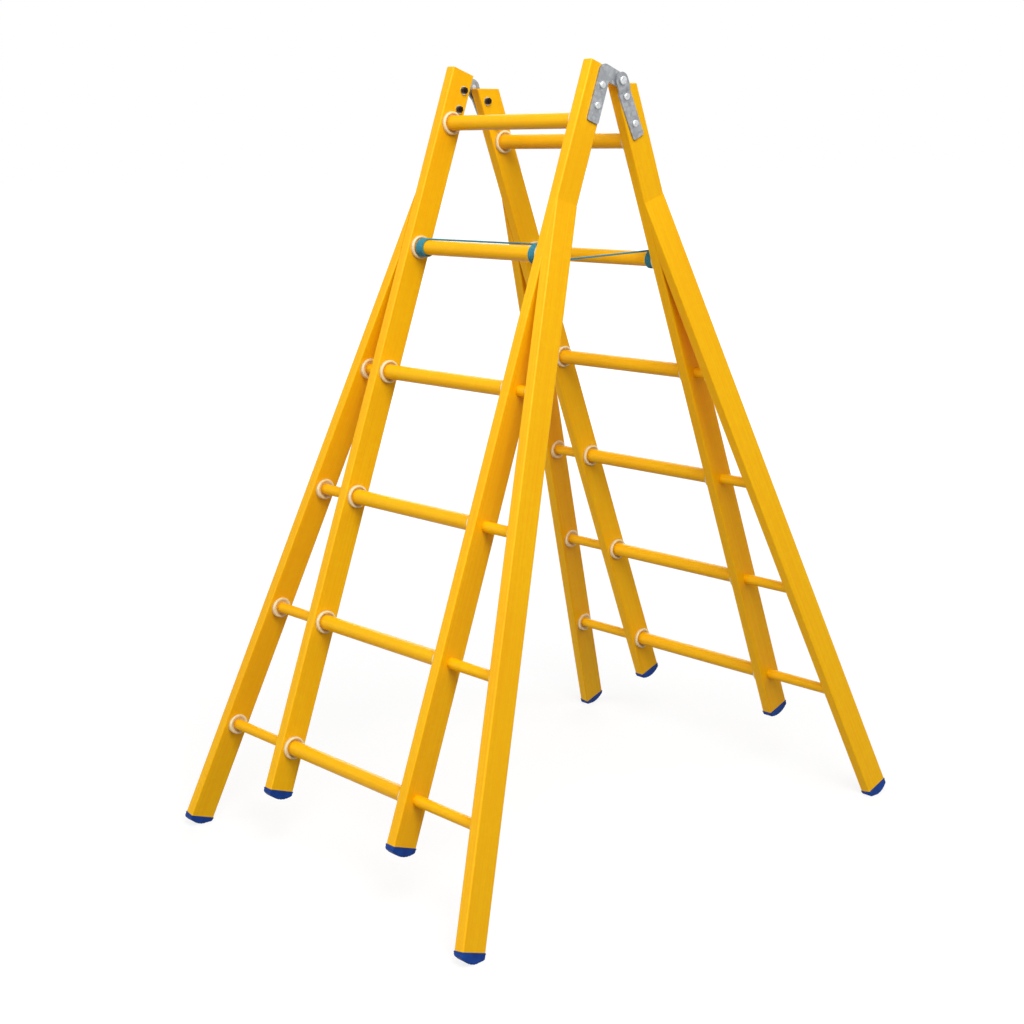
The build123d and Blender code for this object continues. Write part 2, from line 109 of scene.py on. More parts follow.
@dataclass(frozen=True)
class Stance:
    """How the halves lean and the legs splay, and the section that stiles and legs share."""

    lean: float = math.radians(20.0)
    splay: float = math.radians(10.0)
    pivot_drop: float = 22.0 * MM
    width: float = 25.0 * MM
    depth: float = 60.0 * MM
    corner: float = 3.0 * MM
    outer_face: float = 225.0 * MM
    parting: float = 428.0 * MM

    @property
    def apex(self) -> float:
        """Height of the apex, worked out from the fold joint's axis."""
        return frame["joints"][0]["pos_m"][2] + self.pivot_drop

    def up_slope(self, half: Half) -> np.ndarray:
        """Direction up the stiles of a half."""
        return np.array([0.0, -half.value * math.sin(self.lean), math.cos(self.lean)])

    def outward(self, half: Half) -> np.ndarray:
        """Direction through a half's depth, away from its meeting face."""
        return np.array([0.0, half.value * math.cos(self.lean), math.sin(self.lean)])

    def tilt(self, limb: Limb) -> float:
        """Angle that a limb makes with its half's stiles."""
        return self.splay if limb is Limb.LEG else 0.0

    def limb_axes(self, limb: Limb, half: Half, side: Side) -> np.ndarray:
        """Work out the directions of a limb's section and length.

        Args:
            limb: Stile or leg.
            half: Half that the limb is on.
            side: Side that the limb is on.

        Returns:
            Three rows: across the section towards +X, through the depth away from the meeting face, and up the limb.
        """
        tilt, slope = side.value * self.tilt(limb), self.up_slope(half)
        across = ALONG * math.cos(tilt) + slope * math.sin(tilt)
        upward = slope * math.cos(tilt) - ALONG * math.sin(tilt)
        return np.array([across, self.outward(half), upward])

    def down(self, points: np.ndarray) -> np.ndarray:
        """Distance of points down the slope of their half."""
        return (self.apex - points[..., 2]) * math.cos(self.lean) + np.abs(points[..., 1]) * math.sin(self.lean)

    def inner_face(self, limb: Limb, points: np.ndarray) -> np.ndarray:
        """Distance of a limb's inner face from the ladder's middle, beside points."""
        if limb is Limb.STILE:
            return np.full(points.shape[:-1], self.outer_face - self.width)
        return self.outer_face + math.tan(self.splay) * (self.down(points) - self.parting)


STANCE = Stance()


def linear(hex_colour: str) -> tuple[float, float, float, float]:
    """Turn an sRGB hex colour into the linear colour that shaders take.

    Args:
        hex_colour: A # and six hex digits.

    Returns:
        Linear red, green and blue, and an alpha of 1.
    """
    levels = np.array([int(hex_colour[at : at + 2], 16) for at in (1, 3, 5)]) / 255
    red, green, blue = np.where(levels <= 0.04045, levels / 12.92, ((levels + 0.055) / 1.055) ** 2.4)
    return float(red), float(green), float(blue), 1.0


def fill_inputs(tree: bpy.types.NodeTree, node: bpy.types.Node, inputs: dict) -> None:
    """Give a node's inputs their values and links.

    Args:
        tree: Node tree that holds the node.
        node: The node.
        inputs: What goes into each input, by name or index: a value, or another node's output.
    """
    for name, value in inputs.items():
        if isinstance(value, bpy.types.NodeSocket):
            tree.links.new(value, node.inputs[name])
        else:
            node.inputs[name].default_value = value


def add_node(tree: bpy.types.NodeTree, kind: str, inputs: dict | None = None, **settings) -> bpy.types.Node:
    """Add a shader node with its settings, values and links.

    Args:
        tree: Node tree that gets the node.
        kind: Blender's name of the node's type, without its ShaderNode prefix.
        inputs: What goes into the node's inputs, as fill_inputs takes it.
        settings: The node's own properties.

    Returns:
        The new node.
    """
    node = tree.nodes.new("ShaderNode" + kind)
    for name, value in settings.items():
        setattr(node, name, value)
    fill_inputs(tree, node, inputs or {})
    return node


@dataclass(frozen=True)
class Layer:
    """A colour that a pattern brings in over another.

    It sets in where the pattern passes start, and shows most of itself where the pattern reaches full.
    """

    colour: str
    start: float
    full: float
    most: float = 1.0

    def lay(
        self,
        tree: bpy.types.NodeTree,
        under: bpy.types.NodeSocket | tuple[float, float, float, float],
        pattern: bpy.types.NodeSocket,
    ) -> bpy.types.NodeSocket:
        """Add the layer's nodes over what lies below.

        Args:
            tree: The material's node tree.
            under: What lies below: a linear colour, or an output.
            pattern: Output that says where the layer shows.

        Returns:
            The output with both colours.
        """
        spread = {"From Min": self.start, "From Max": self.full, "To Max": self.most}
        share = add_node(tree, "MapRange", {"Value": pattern, **spread})
        colours = {SHARE: share.outputs[0], UNDER: under, OVER: linear(self.colour)}
        return add_node(tree, "Mix", colours, data_type="RGBA").outputs[MIXED]


@dataclass(frozen=True)
class Finish:
    """What a surface is made of. Each kind of finish wires its own nodes in shade()."""

    name: str

    def material(self) -> bpy.types.Material:
        """Make the finish's material, with a Principled shader that shade() wires up."""
        made = bpy.data.materials.new(self.name)
        made.use_nodes = True
        shader = made.node_tree.nodes["Principled BSDF"]
        place = add_node(made.node_tree, "TexCoord")
        self.shade(made.node_tree, shader, place)
        return made

    def shade(self, tree: bpy.types.NodeTree, shader: bpy.types.Node, place: bpy.types.Node) -> None:
        """Wire the finish's nodes into its shader.

        Args:
            tree: The material's node tree.
            shader: The Principled shader.
            place: The Texture Coordinate node.
        """
        raise NotImplementedError


@dataclass(frozen=True)
class PultrudedGlassFibre(Finish):
    """Pigmented polyester with glass rovings drawn through a die, satin from the die's walls.

    To the eye it is one strong yellow with faint streaks along its length, where rovings lie close under the skin,
    and a softly mottled veil over them.
    """

    turn: tuple[float, float, float] = (0.0, 0.0, 0.0)
    body: str = "#FCBD00"
    streaked: Layer = Layer("#F5A600", start=0.38, full=0.72, most=0.55)
    veiled: Layer = Layer("#FFCF0E", start=0.45, full=0.8, most=0.35)
    drifted: Layer = Layer("#F5A600", start=0.4, full=0.75, most=0.3)
    # Rovings are about 2 mm wide. The streaks are drawn at 4 mm to show in the render.
    streak: tuple[float, float, float] = (4.0 * MM, 4.0 * MM, 420.0 * MM)
    veil: float = 14.0 * MM
    drift: float = 260.0 * MM
    specular: float = 0.2

    def shade(self, tree: bpy.types.NodeTree, shader: bpy.types.Node, place: bpy.types.Node) -> None:
        """Deep streaks along the tube, a pale mottled veil and a slow drift. The streaks also vary the gloss."""
        where = place.outputs["Object"]
        lengthwise = add_node(
            tree, "Mapping", {"Vector": where, "Rotation": self.turn, "Scale": self.streak}, vector_type="TEXTURE"
        )
        along = {"Vector": lengthwise.outputs[0], "Scale": 1.0, "Detail": 3.0, "Roughness": 0.6}
        streaks = add_node(tree, "TexNoise", along).outputs["Fac"]
        mottle = {"Vector": where, "Scale": 1 / self.veil, "Detail": 4.0, "Distortion": 0.8}
        veil = add_node(tree, "TexNoise", mottle).outputs["Fac"]
        drift = add_node(tree, "TexNoise", {"Vector": where, "Scale": 1 / self.drift, "Detail": 1.0}).outputs["Fac"]
        tint = self.streaked.lay(tree, linear(self.body), streaks)
        tint = self.veiled.lay(tree, tint, veil)
        tint = self.drifted.lay(tree, tint, drift)
        gloss = add_node(tree, "MapRange", {"Value": streaks, "To Min": 0.38, "To Max": 0.54})
        relief = add_node(tree, "Bump", {"Height": streaks, "Strength": 0.25, "Distance": 0.15 * MM})
        skin = {"Base Color": tint, "Roughness": gloss.outputs[0], "Normal": relief.outputs[0]}
        fill_inputs(tree, shader, {"Specular IOR Level": self.specular, **skin})


@dataclass(frozen=True)
class MouldedNylon(Finish):
    """Cream nylon 6, injection moulded: an even, waxy off-white with faint flow marks."""

    light: str = "#F3E4BC"
    marked: Layer = Layer("#E4CC94", start=0.35, full=0.75, most=0.7)
    flow: float = 9.0 * MM
    # The tool's spark-eroded grain is about 0.1 mm. It is drawn at 0.7 mm to show in the render.
    grain: float = 0.7 * MM

    def shade(self, tree: bpy.types.NodeTree, shader: bpy.types.Node, place: bpy.types.Node) -> None:
        """Warm flow marks over the light cream, and a fine eroded grain."""
        where = place.outputs["Object"]
        flow = add_node(tree, "TexNoise", {"Vector": where, "Scale": 1 / self.flow, "Detail": 2.0, "Distortion": 1.2})
        grain = add_node(tree, "TexNoise", {"Vector": where, "Scale": 1 / self.grain}).outputs["Fac"]
        tint = self.marked.lay(tree, linear(self.light), flow.outputs["Fac"])
        gloss = add_node(tree, "MapRange", {"Value": grain, "To Min": 0.38, "To Max": 0.52})
        relief = add_node(tree, "Bump", {"Height": grain, "Strength": 0.2, "Distance": 0.05 * MM})
        skin = {"Base Color": tint, "Roughness": gloss.outputs[0], "Normal": relief.outputs[0]}
        fill_inputs(tree, shader, skin)


@dataclass(frozen=True)
class MouldedRubber(Finish):
    """Blue thermoplastic rubber, moulded in a textured tool: a deep matt blue that scuffs paler."""

    body: str = "#063F94"
    clouded: Layer = Layer("#04286A", start=0.35, full=0.7, most=0.7)
    scuffed: Layer = Layer("#2A5CA6", start=0.62, full=0.8, most=0.45)
    specular: float = 0.22
    cloud: float = 22.0 * MM
    # The tool's leather grain is about 0.3 mm. It is drawn at 1.1 mm to show in the render.
    grain: float = 1.1 * MM
    scuff: float = 5.0 * MM

    def shade(self, tree: bpy.types.NodeTree, shader: bpy.types.Node, place: bpy.types.Node) -> None:
        """Clouds of deeper blue, with sparse pale scuffs and a leathery grain."""
        where = place.outputs["Object"]
        cloud = add_node(tree, "TexNoise", {"Vector": where, "Scale": 1 / self.cloud, "Detail": 3.0}).outputs["Fac"]
        grain = add_node(tree, "TexVoronoi", {"Vector": where, "Scale": 1 / self.grain})
        torn = {"Vector": where, "Scale": 1 / self.scuff, "Detail": 5.0, "Distortion": 1.5}
        scuffs = add_node(tree, "TexNoise", torn).outputs["Fac"]
        tint = self.clouded.lay(tree, linear(self.body), cloud)
        tint = self.scuffed.lay(tree, tint, scuffs)
        gloss = add_node(tree, "MapRange", {"Value": cloud, "To Min": 0.46, "To Max": 0.64})
        leather = {"Height": grain.outputs["Distance"], "Strength": 0.35, "Distance": 0.12 * MM}
        relief = add_node(tree, "Bump", leather)
        skin = {"Base Color": tint, "Roughness": gloss.outputs[0], "Normal": relief.outputs[0]}
        fill_inputs(tree, shader, {"Specular IOR Level": self.specular, **skin})


@dataclass(frozen=True)
class GalvanisedSteel(Finish):
    """Hot-dip galvanised strip steel: a cool grey metal patched with zinc crystals, each with its own sheen."""

    dull: str = "#8F9295"
    bright: str = "#A6A9AC"
    # Spangles on strip are 3 to 10 mm.
    spangle: float = 7.0 * MM
    pitting: float = 1.3 * MM

    def shade(self, tree: bpy.types.NodeTree, shader: bpy.types.Node, place: bpy.types.Node) -> None:
        """Each crystal, a Voronoi cell, takes its own grey and roughness, over fine pits."""
        where = place.outputs["Object"]
        crystals = add_node(tree, "TexVoronoi", {"Vector": where, "Scale": 1 / self.spangle})
        pits = add_node(tree, "TexNoise", {"Vector": where, "Scale": 1 / self.pitting, "Detail": 3.0})
        sheen = add_node(tree, "SeparateColor", {"Color": crystals.outputs["Color"]})
        greys = {SHARE: sheen.outputs[0], UNDER: linear(self.dull), OVER: linear(self.bright)}
        tint = add_node(tree, "Mix", greys, data_type="RGBA").outputs[MIXED]
        gloss = add_node(tree, "MapRange", {"Value": sheen.outputs[1], "To Min": 0.52, "To Max": 0.68})
        relief = add_node(tree, "Bump", {"Height": pits.outputs["Fac"], "Strength": 0.15, "Distance": 0.06 * MM})
        skin = {"Base Color": tint, "Roughness": gloss.outputs[0], "Normal": relief.outputs[0]}
        fill_inputs(tree, shader, {"Metallic": 1.0, **skin})


@dataclass(frozen=True)
class PlatedSteel(Finish):
    """Cold-headed steel with a thin coat: a metal with soft cloudy tarnish and slight tumbling marks."""

    clean: str = "#D6D8DA"
    tarnished: Layer = Layer("#AAADAD", start=0.4, full=0.75)
    smooth: float = 0.28
    dull: float = 0.44
    cloud: float = 5.0 * MM
    # Tumbling marks are under 0.1 mm. They are drawn at 0.6 mm to show in the render.
    mark: float = 0.6 * MM

    def shade(self, tree: bpy.types.NodeTree, shader: bpy.types.Node, place: bpy.types.Node) -> None:
        """Clouds of tarnish, which also go from smooth to dull, over fine tumbling marks."""
        where = place.outputs["Object"]
        cloud = add_node(tree, "TexNoise", {"Vector": where, "Scale": 1 / self.cloud, "Detail": 3.0}).outputs["Fac"]
        marks = add_node(tree, "TexNoise", {"Vector": where, "Scale": 1 / self.mark, "Detail": 2.0})
        tint = self.tarnished.lay(tree, linear(self.clean), cloud)
        gloss = add_node(tree, "MapRange", {"Value": cloud, "To Min": self.smooth, "To Max": self.dull})
        relief = add_node(tree, "Bump", {"Height": marks.outputs["Fac"], "Strength": 0.12, "Distance": 0.04 * MM})
        skin = {"Base Color": tint, "Roughness": gloss.outputs[0], "Normal": relief.outputs[0]}
        fill_inputs(tree, shader, {"Metallic": 1.0, **skin})


@dataclass(frozen=True)
class OiledThread(PlatedSteel):
    """Bolts whose heads are bright zinc, and whose rolled threads inside the stiles' inner faces hold dark oil and
    painted root shade.

    To the eye the heads are clean metal, and the tails are dark rings of oil and painted shade, with worn metal and a
    painted glint on each crest.
    """

    # The thread has no relief. The dark of its roots is oil plus painted shade, and the pale of each crest is worn
    # metal plus a painted glint.
    oil: str = "#2A211B"
    crests: Layer = Layer("#7A736C", start=0.2, full=1.0)
    starts_at: float = 199.0 * MM
    # An M8 thread has a pitch of 1.25 mm.
    pitch: float = 1.25 * MM

    def shade(self, tree: bpy.types.NodeTree, shader: bpy.types.Node, place: bpy.types.Node) -> None:
        """Inside the inner faces the plating gives way to oil and painted shade in the roots, and to worn metal and a
        painted glint on each crest.
        """
        super().shade(tree, shader, place)
        plated = shader.inputs["Base Color"].links[0].from_socket
        along = add_node(tree, "SeparateXYZ", {"Vector": place.outputs["Object"]}).outputs["X"]
        from_middle = add_node(tree, "Math", {0: along}, operation="ABSOLUTE")
        tail = add_node(tree, "Math", {0: from_middle.outputs[0], 1: self.starts_at}, operation="LESS_THAN")
        # A sine along X paints the thread's light and shade: dark roots and pale crests.
        wave = add_node(tree, "Math", {0: along, 1: 2 * math.pi / self.pitch}, operation="MULTIPLY")
        turn = add_node(tree, "Math", {0: wave.outputs[0]}, operation="SINE")
        thread = self.crests.lay(tree, linear(self.oil), turn.outputs[0])
        ends = {SHARE: tail.outputs[0], UNDER: plated, OVER: thread}
        tint = add_node(tree, "Mix", ends, data_type="RGBA").outputs[MIXED]
        fill_inputs(tree, shader, {"Base Color": tint})


@dataclass(frozen=True)
class BraidedPolyester(Finish):
    """Teal polyester yarn, plaited: matt strands with a soft sheen and fine filaments along them."""

    deep: str = "#0C6577"
    ridged: Layer = Layer("#2A9DB4", start=0.3, full=0.7)
    # Filaments are finer than a hair. Eight ridges across a strand stand for them.
    filaments: float = 8.0
    tone_length: float = 12.0 * MM
    roughness: float = 0.72
    sheen: float = 0.25

    def shade(self, tree: bpy.types.NodeTree, shader: bpy.types.Node, place: bpy.types.Node) -> None:
        """Filament ridges run along each strand's own UV, and every strand takes its own tone."""
        fine = (self.filaments, 1 / self.tone_length, 1.0)
        threads = add_node(tree, "Mapping", {"Vector": place.outputs["UV"], "Scale": fine})
        along = {"Vector": threads.outputs[0], "Scale": 1.0, "Detail": 2.0, "Roughness": 0.6}
        ridges = add_node(tree, "TexNoise", along).outputs["Fac"]
        tint = self.ridged.lay(tree, linear(self.deep), ridges)
        relief = add_node(tree, "Bump", {"Height": ridges, "Strength": 0.5, "Distance": 0.1 * MM})
        skin = {"Base Color": tint, "Normal": relief.outputs[0]}
        fill_inputs(tree, shader, {"Roughness": self.roughness, "Sheen Weight": self.sheen, **skin})


@dataclass(frozen=True)
class StudioPaper(Finish):
    """White seamless paper, lit from behind where the eye sees it, so that it stays white and keeps the shadow."""

    # Grey under its own glow, so that the two together come to white and a shadow still shows.
    paper: str = "#848484"
    fibre: float = 40.0 * MM
    near_glow: float = 0.8
    far_glow: float = 0.98
    near: float = 0.8
    far: float = 6.0

    def shade(self, tree: bpy.types.NodeTree, shader: bpy.types.Node, place: bpy.types.Node) -> None:
        """The paper's own glow grows away from the ladder. It is seen, also in reflections, and lights nothing."""
        where = place.outputs["Object"]
        fibres = add_node(tree, "TexNoise", {"Vector": where, "Scale": 1 / self.fibre})
        matt = add_node(tree, "MapRange", {"Value": fibres.outputs["Fac"], "To Min": 0.94, "To Max": 1.0})
        away = add_node(tree, "VectorMath", {0: where}, operation="LENGTH").outputs["Value"]
        reach = {"From Min": self.near, "From Max": self.far, "To Min": self.near_glow, "To Max": self.far_glow}
        level = add_node(tree, "MapRange", {"Value": away, **reach})
        glow = add_node(tree, "Math", {0: add_seen(tree), 1: level.outputs[0]}, operation="MULTIPLY")
        sheet = {"Base Color": linear(self.paper), "Roughness": matt.outputs[0], "Specular IOR Level": 0.0}
        fill_inputs(tree, shader, {"Emission Color": linear(WHITE), "Emission Strength": glow.outputs[0], **sheet})


def add_seen(tree: bpy.types.NodeTree) -> bpy.types.NodeSocket:
    """Add nodes that give 1 to the camera's rays and to reflected and transmitted ones, and 0 to the rest."""
    rays = add_node(tree, "LightPath").outputs
    mirrored = add_node(
        tree, "Math", {0: rays["Is Glossy Ray"], 1: rays["Is Transmission Ray"]}, operation="MAXIMUM"
    )
    seen = add_node(tree, "Math", {0: rays["Is Camera Ray"], 1: mirrored.outputs[0]}, operation="MAXIMUM")
    return seen.outputs[0]


def grid_quads(rows: int, columns: int, close_rows: bool = False, close_columns: bool = False) -> np.ndarray:
    """Work out the faces of a grid whose points are stored row by row.

    Args:
        rows: Points along the first direction.
        columns: Points along the second direction.
        close_rows: Whether the last row joins the first.
        close_columns: Whether the last column joins the first.

    Returns:
        Point indices of each quad, one quad a line.
    """
    index = np.arange(rows * columns).reshape(rows, columns)
    index = np.concatenate([index, index[:1]]) if close_rows else index
    index = np.concatenate([index, index[:, :1]], axis=1) if close_columns else index
    corners = [index[:-1, :-1], index[1:, :-1], index[1:, 1:], index[:-1, 1:]]
    return np.stack(corners, axis=-1).reshape(-1, 4)


def repeat_faces(faces: np.ndarray, copies: int, points: int) -> np.ndarray:
    """Repeat one copy's faces for several copies whose points follow each other."""
    steps = np.arange(copies)[:, None, None] * points
    return (faces[None] + steps).reshape(-1, faces.shape[1])


def put_mesh(
    name: str, points: np.ndarray, faces: list[np.ndarray], finish: bpy.types.Material, uv: np.ndarray | None = None
) -> bpy.types.Object:
    """Put worked-out points and faces into a smooth-shaded object at the origin.

    Args:
        name: The piece's name.
        points: Places of the vertices, in the row frame.
        faces: Arrays of faces, all faces of one array having as many corners.
        finish: The piece's material.
        uv: Texture place of each vertex, where the finish follows the surface.

    Returns:
        The new object, linked to the scene.
    """
    mesh = bpy.data.meshes.new(name)
    polygons = [polygon for block in faces for polygon in block.tolist()]
    mesh.from_pydata(points.reshape(-1, 3).tolist(), [], polygons)
    mesh.polygons.foreach_set("use_smooth", np.ones(len(polygons), bool))
    if uv is not None:
        corner_vertex = np.zeros(len(mesh.loops), np.int32)
        mesh.loops.foreach_get("vertex_index", corner_vertex)
        mesh.uv_layers.new(name="UVMap").data.foreach_set("uv", uv.reshape(-1, 2)[corner_vertex].ravel())
    mesh.materials.append(finish)
    made = bpy.data.objects.new(name, mesh)
    bpy.context.scene.collection.objects.link(made)
    return made


def node_points(node: str) -> np.ndarray:
    """Read the places of a CAD node's vertices, one a line."""
    mesh = frame["nodes"][node].data
    flat = np.zeros(len(mesh.vertices) * 3, np.float32)
    mesh.vertices.foreach_get("co", flat)
    return flat.reshape(-1, 3).astype(float)


def dress_node(node: str, finish: bpy.types.Material) -> None:
    """Give a CAD node a finish."""
    mesh = frame["nodes"][node].data
    mesh.materials.clear()
    mesh.materials.append(finish)
    LOG.info("%s keeps its shape and takes %s", node, finish.name)


def place_piece(piece: bpy.types.Object, half: Half, slot: str, *nodes: str) -> None:
    """Let a new piece ride on a half, in place of CAD nodes.

    Args:
        piece: The new piece.
        half: Half that carries it.
        slot: Not used.
        nodes: CAD nodes that it stands for.
    """
    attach(piece, half.body)
    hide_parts(*nodes)
    LOG.info("%s stands for %s on %s", piece.name, ", ".join(nodes), half.body)


@dataclass(frozen=True)
class Tubes:
    """The stiles, legs, rungs and stub rungs, which keep their CAD shapes."""

    rung_count: int = 6

    def grain_turn(self, limb: Limb, half: Half, side: Side) -> tuple[float, float, float]:
        """Turn that lays a pattern's length along a limb: about X first, then about Y."""
        tilt = STANCE.tilt(limb)
        about_x = math.asin(half.value * math.sin(STANCE.lean) * math.cos(tilt))
        about_y = math.atan2(-side.value * math.sin(tilt), math.cos(STANCE.lean) * math.cos(tilt))
        return about_x, about_y, 0.0

    def dress(self) -> None:
        """Give every tube a glass-fibre finish that streaks along its own length."""
        along_x = PultrudedGlassFibre("rung glass fibre", turn=(0.0, math.radians(90.0), 0.0)).material()
        for half in Half:
            for number in range(1, self.rung_count + 1):
                dress_node(f"rung_{half.label}_{number}", along_x)
            for side in Side:
                dress_node(f"stub_rungs_{half.label}_{side.label}", along_x)
                for limb in Limb:
                    node = f"{limb.value}_{half.label}_{side.label}"
                    turn = self.grain_turn(limb, half, side)
                    dress_node(node, PultrudedGlassFibre(f"glass fibre {node}", turn=turn).material())


@dataclass(frozen=True)
class CollarKind:
    """A kind of collar: the tube that it is round, the limb that it sits on, its first rung and its radii."""

    tube: str
    limb: Limb
    first_rung: int
    tube_radius: float
    outer: float


@dataclass(frozen=True)
class Collars:
    """Cream rings round the rungs and stub rungs, dished between a round rim and a thin lip on the tube."""

    kinds: tuple[CollarKind, ...] = (
        CollarKind("rung", Limb.STILE, first_rung=1, tube_radius=16.0 * MM, outer=25.0 * MM),
        CollarKind("stub", Limb.LEG, first_rung=3, tube_radius=11.5 * MM, outer=22.5 * MM),
    )
    height: float = 8.0 * MM
    rim_round: float = 2.2 * MM
    rim_width: float = 3.6 * MM
    dish_depth: float = 5.2 * MM
    lip_width: float = 1.4 * MM
    round_steps: int = 9
    segments: int = 72
    fit: float = 0.05 * MM

    def profile(self, outer: float, bore: float) -> np.ndarray:
        """Work out a ring's closed outline as radius and height above its seat.

        The outline climbs the outer wall, turns over the rim in two quarter circles, falls in a cosine into the
        dish, rises to the lip and comes back down the bore.

        Args:
            outer: Radius of the ring.
            bore: Radius of its bore.

        Returns:
            Radius and height of each point, one point a line.
        """
        quarter = np.linspace(0.0, math.pi / 2, self.round_steps)
        crest = outer - self.rim_width
        rim_in, rim_down = self.rim_round * (1 - np.cos(quarter)), self.rim_round * (1 - np.sin(quarter))
        rim = np.stack([outer - rim_in, self.height - rim_down], 1)
        lip = bore + self.lip_width
        fall = np.linspace(0.0, 1.0, self.round_steps)
        sunk = self.dish_depth * (1 - np.cos(math.pi * fall)) / 2
        dish = np.stack([crest + (lip - crest) * fall, self.height - sunk], 1)
        base = self.height - self.dish_depth
        ends = np.array([[bore, base - self.fit], [bore, 0.0]])
        return np.concatenate([[[outer, 0.0]], rim, dish, ends])

    def rings(self, kind: CollarKind, centres: np.ndarray, side: Side) -> tuple[np.ndarray, np.ndarray]:
        """Turn a kind's outline round each tube's axis, which runs along X.

        A ring's seat lies on the stile's or leg's inner face, so a leg's seat leans with it: its place along X
        follows the distance down the slope. The free face stays square to the tube.

        Args:
            kind: Kind of collar.
            centres: Centre of each tube, with its X ignored.
            side: Side that the seats are on.

        Returns:
            The points and the faces of all the rings.
        """
        outline = self.profile(kind.outer, kind.tube_radius + self.fit)
        turn = np.linspace(0.0, 2 * math.pi, self.segments, endpoint=False)
        radius, rise = outline[:, 0][:, None], outline[:, 1][:, None] / self.height
        points = np.zeros((len(centres), len(outline), self.segments, 3))
        points[..., 1] = centres[:, 1][:, None, None] + radius * np.cos(turn)
        points[..., 2] = centres[:, 2][:, None, None] + radius * np.sin(turn)
        seat = STANCE.inner_face(kind.limb, points)
        free = STANCE.inner_face(kind.limb, centres)[:, None, None] - self.height
        points[..., 0] = side.value * (seat * (1 - rise) + free * rise)
        quads = grid_quads(len(outline), self.segments, close_rows=True, close_columns=True)
        quads = quads[:, ::-1] if side is Side.LEFT else quads
        return points, repeat_faces(quads, len(centres), len(outline) * self.segments)

    def rung_centres(self, half: Half, first: int) -> np.ndarray:
        """Centres of a half's rungs from a number on."""
        boxes = [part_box(f"rung_{half.label}_{number}") for number in range(first, Tubes.rung_count + 1)]
        return np.array([(np.array(low) + np.array(high)) / 2 for low, high in boxes])

    def build_set(self, kind: CollarKind, half: Half, side: Side, finish: bpy.types.Material) -> None:
        """Build the rings on one limb's inner face.

        Args:
            kind: Kind of collar.
            half: Half that carries them.
            side: Side that they are on.
            finish: Their material.
        """
        points, quads = self.rings(kind, self.rung_centres(half, kind.first_rung), side)
        place = f"{half.label}_{side.label}"
        piece = put_mesh(f"{kind.tube}_collar_rings_{place}", points, [quads], finish)
        place_piece(piece, half, "collar", f"{kind.tube}_collars_{place}")

    def build(self) -> None:
        """Build the rings of every stile and leg, each set in place of its CAD node."""
        nylon = MouldedNylon("cream moulded nylon").material()
        for half in Half:
            for side in Side:
                for kind in self.kinds:
                    self.build_set(kind, half, side, nylon)


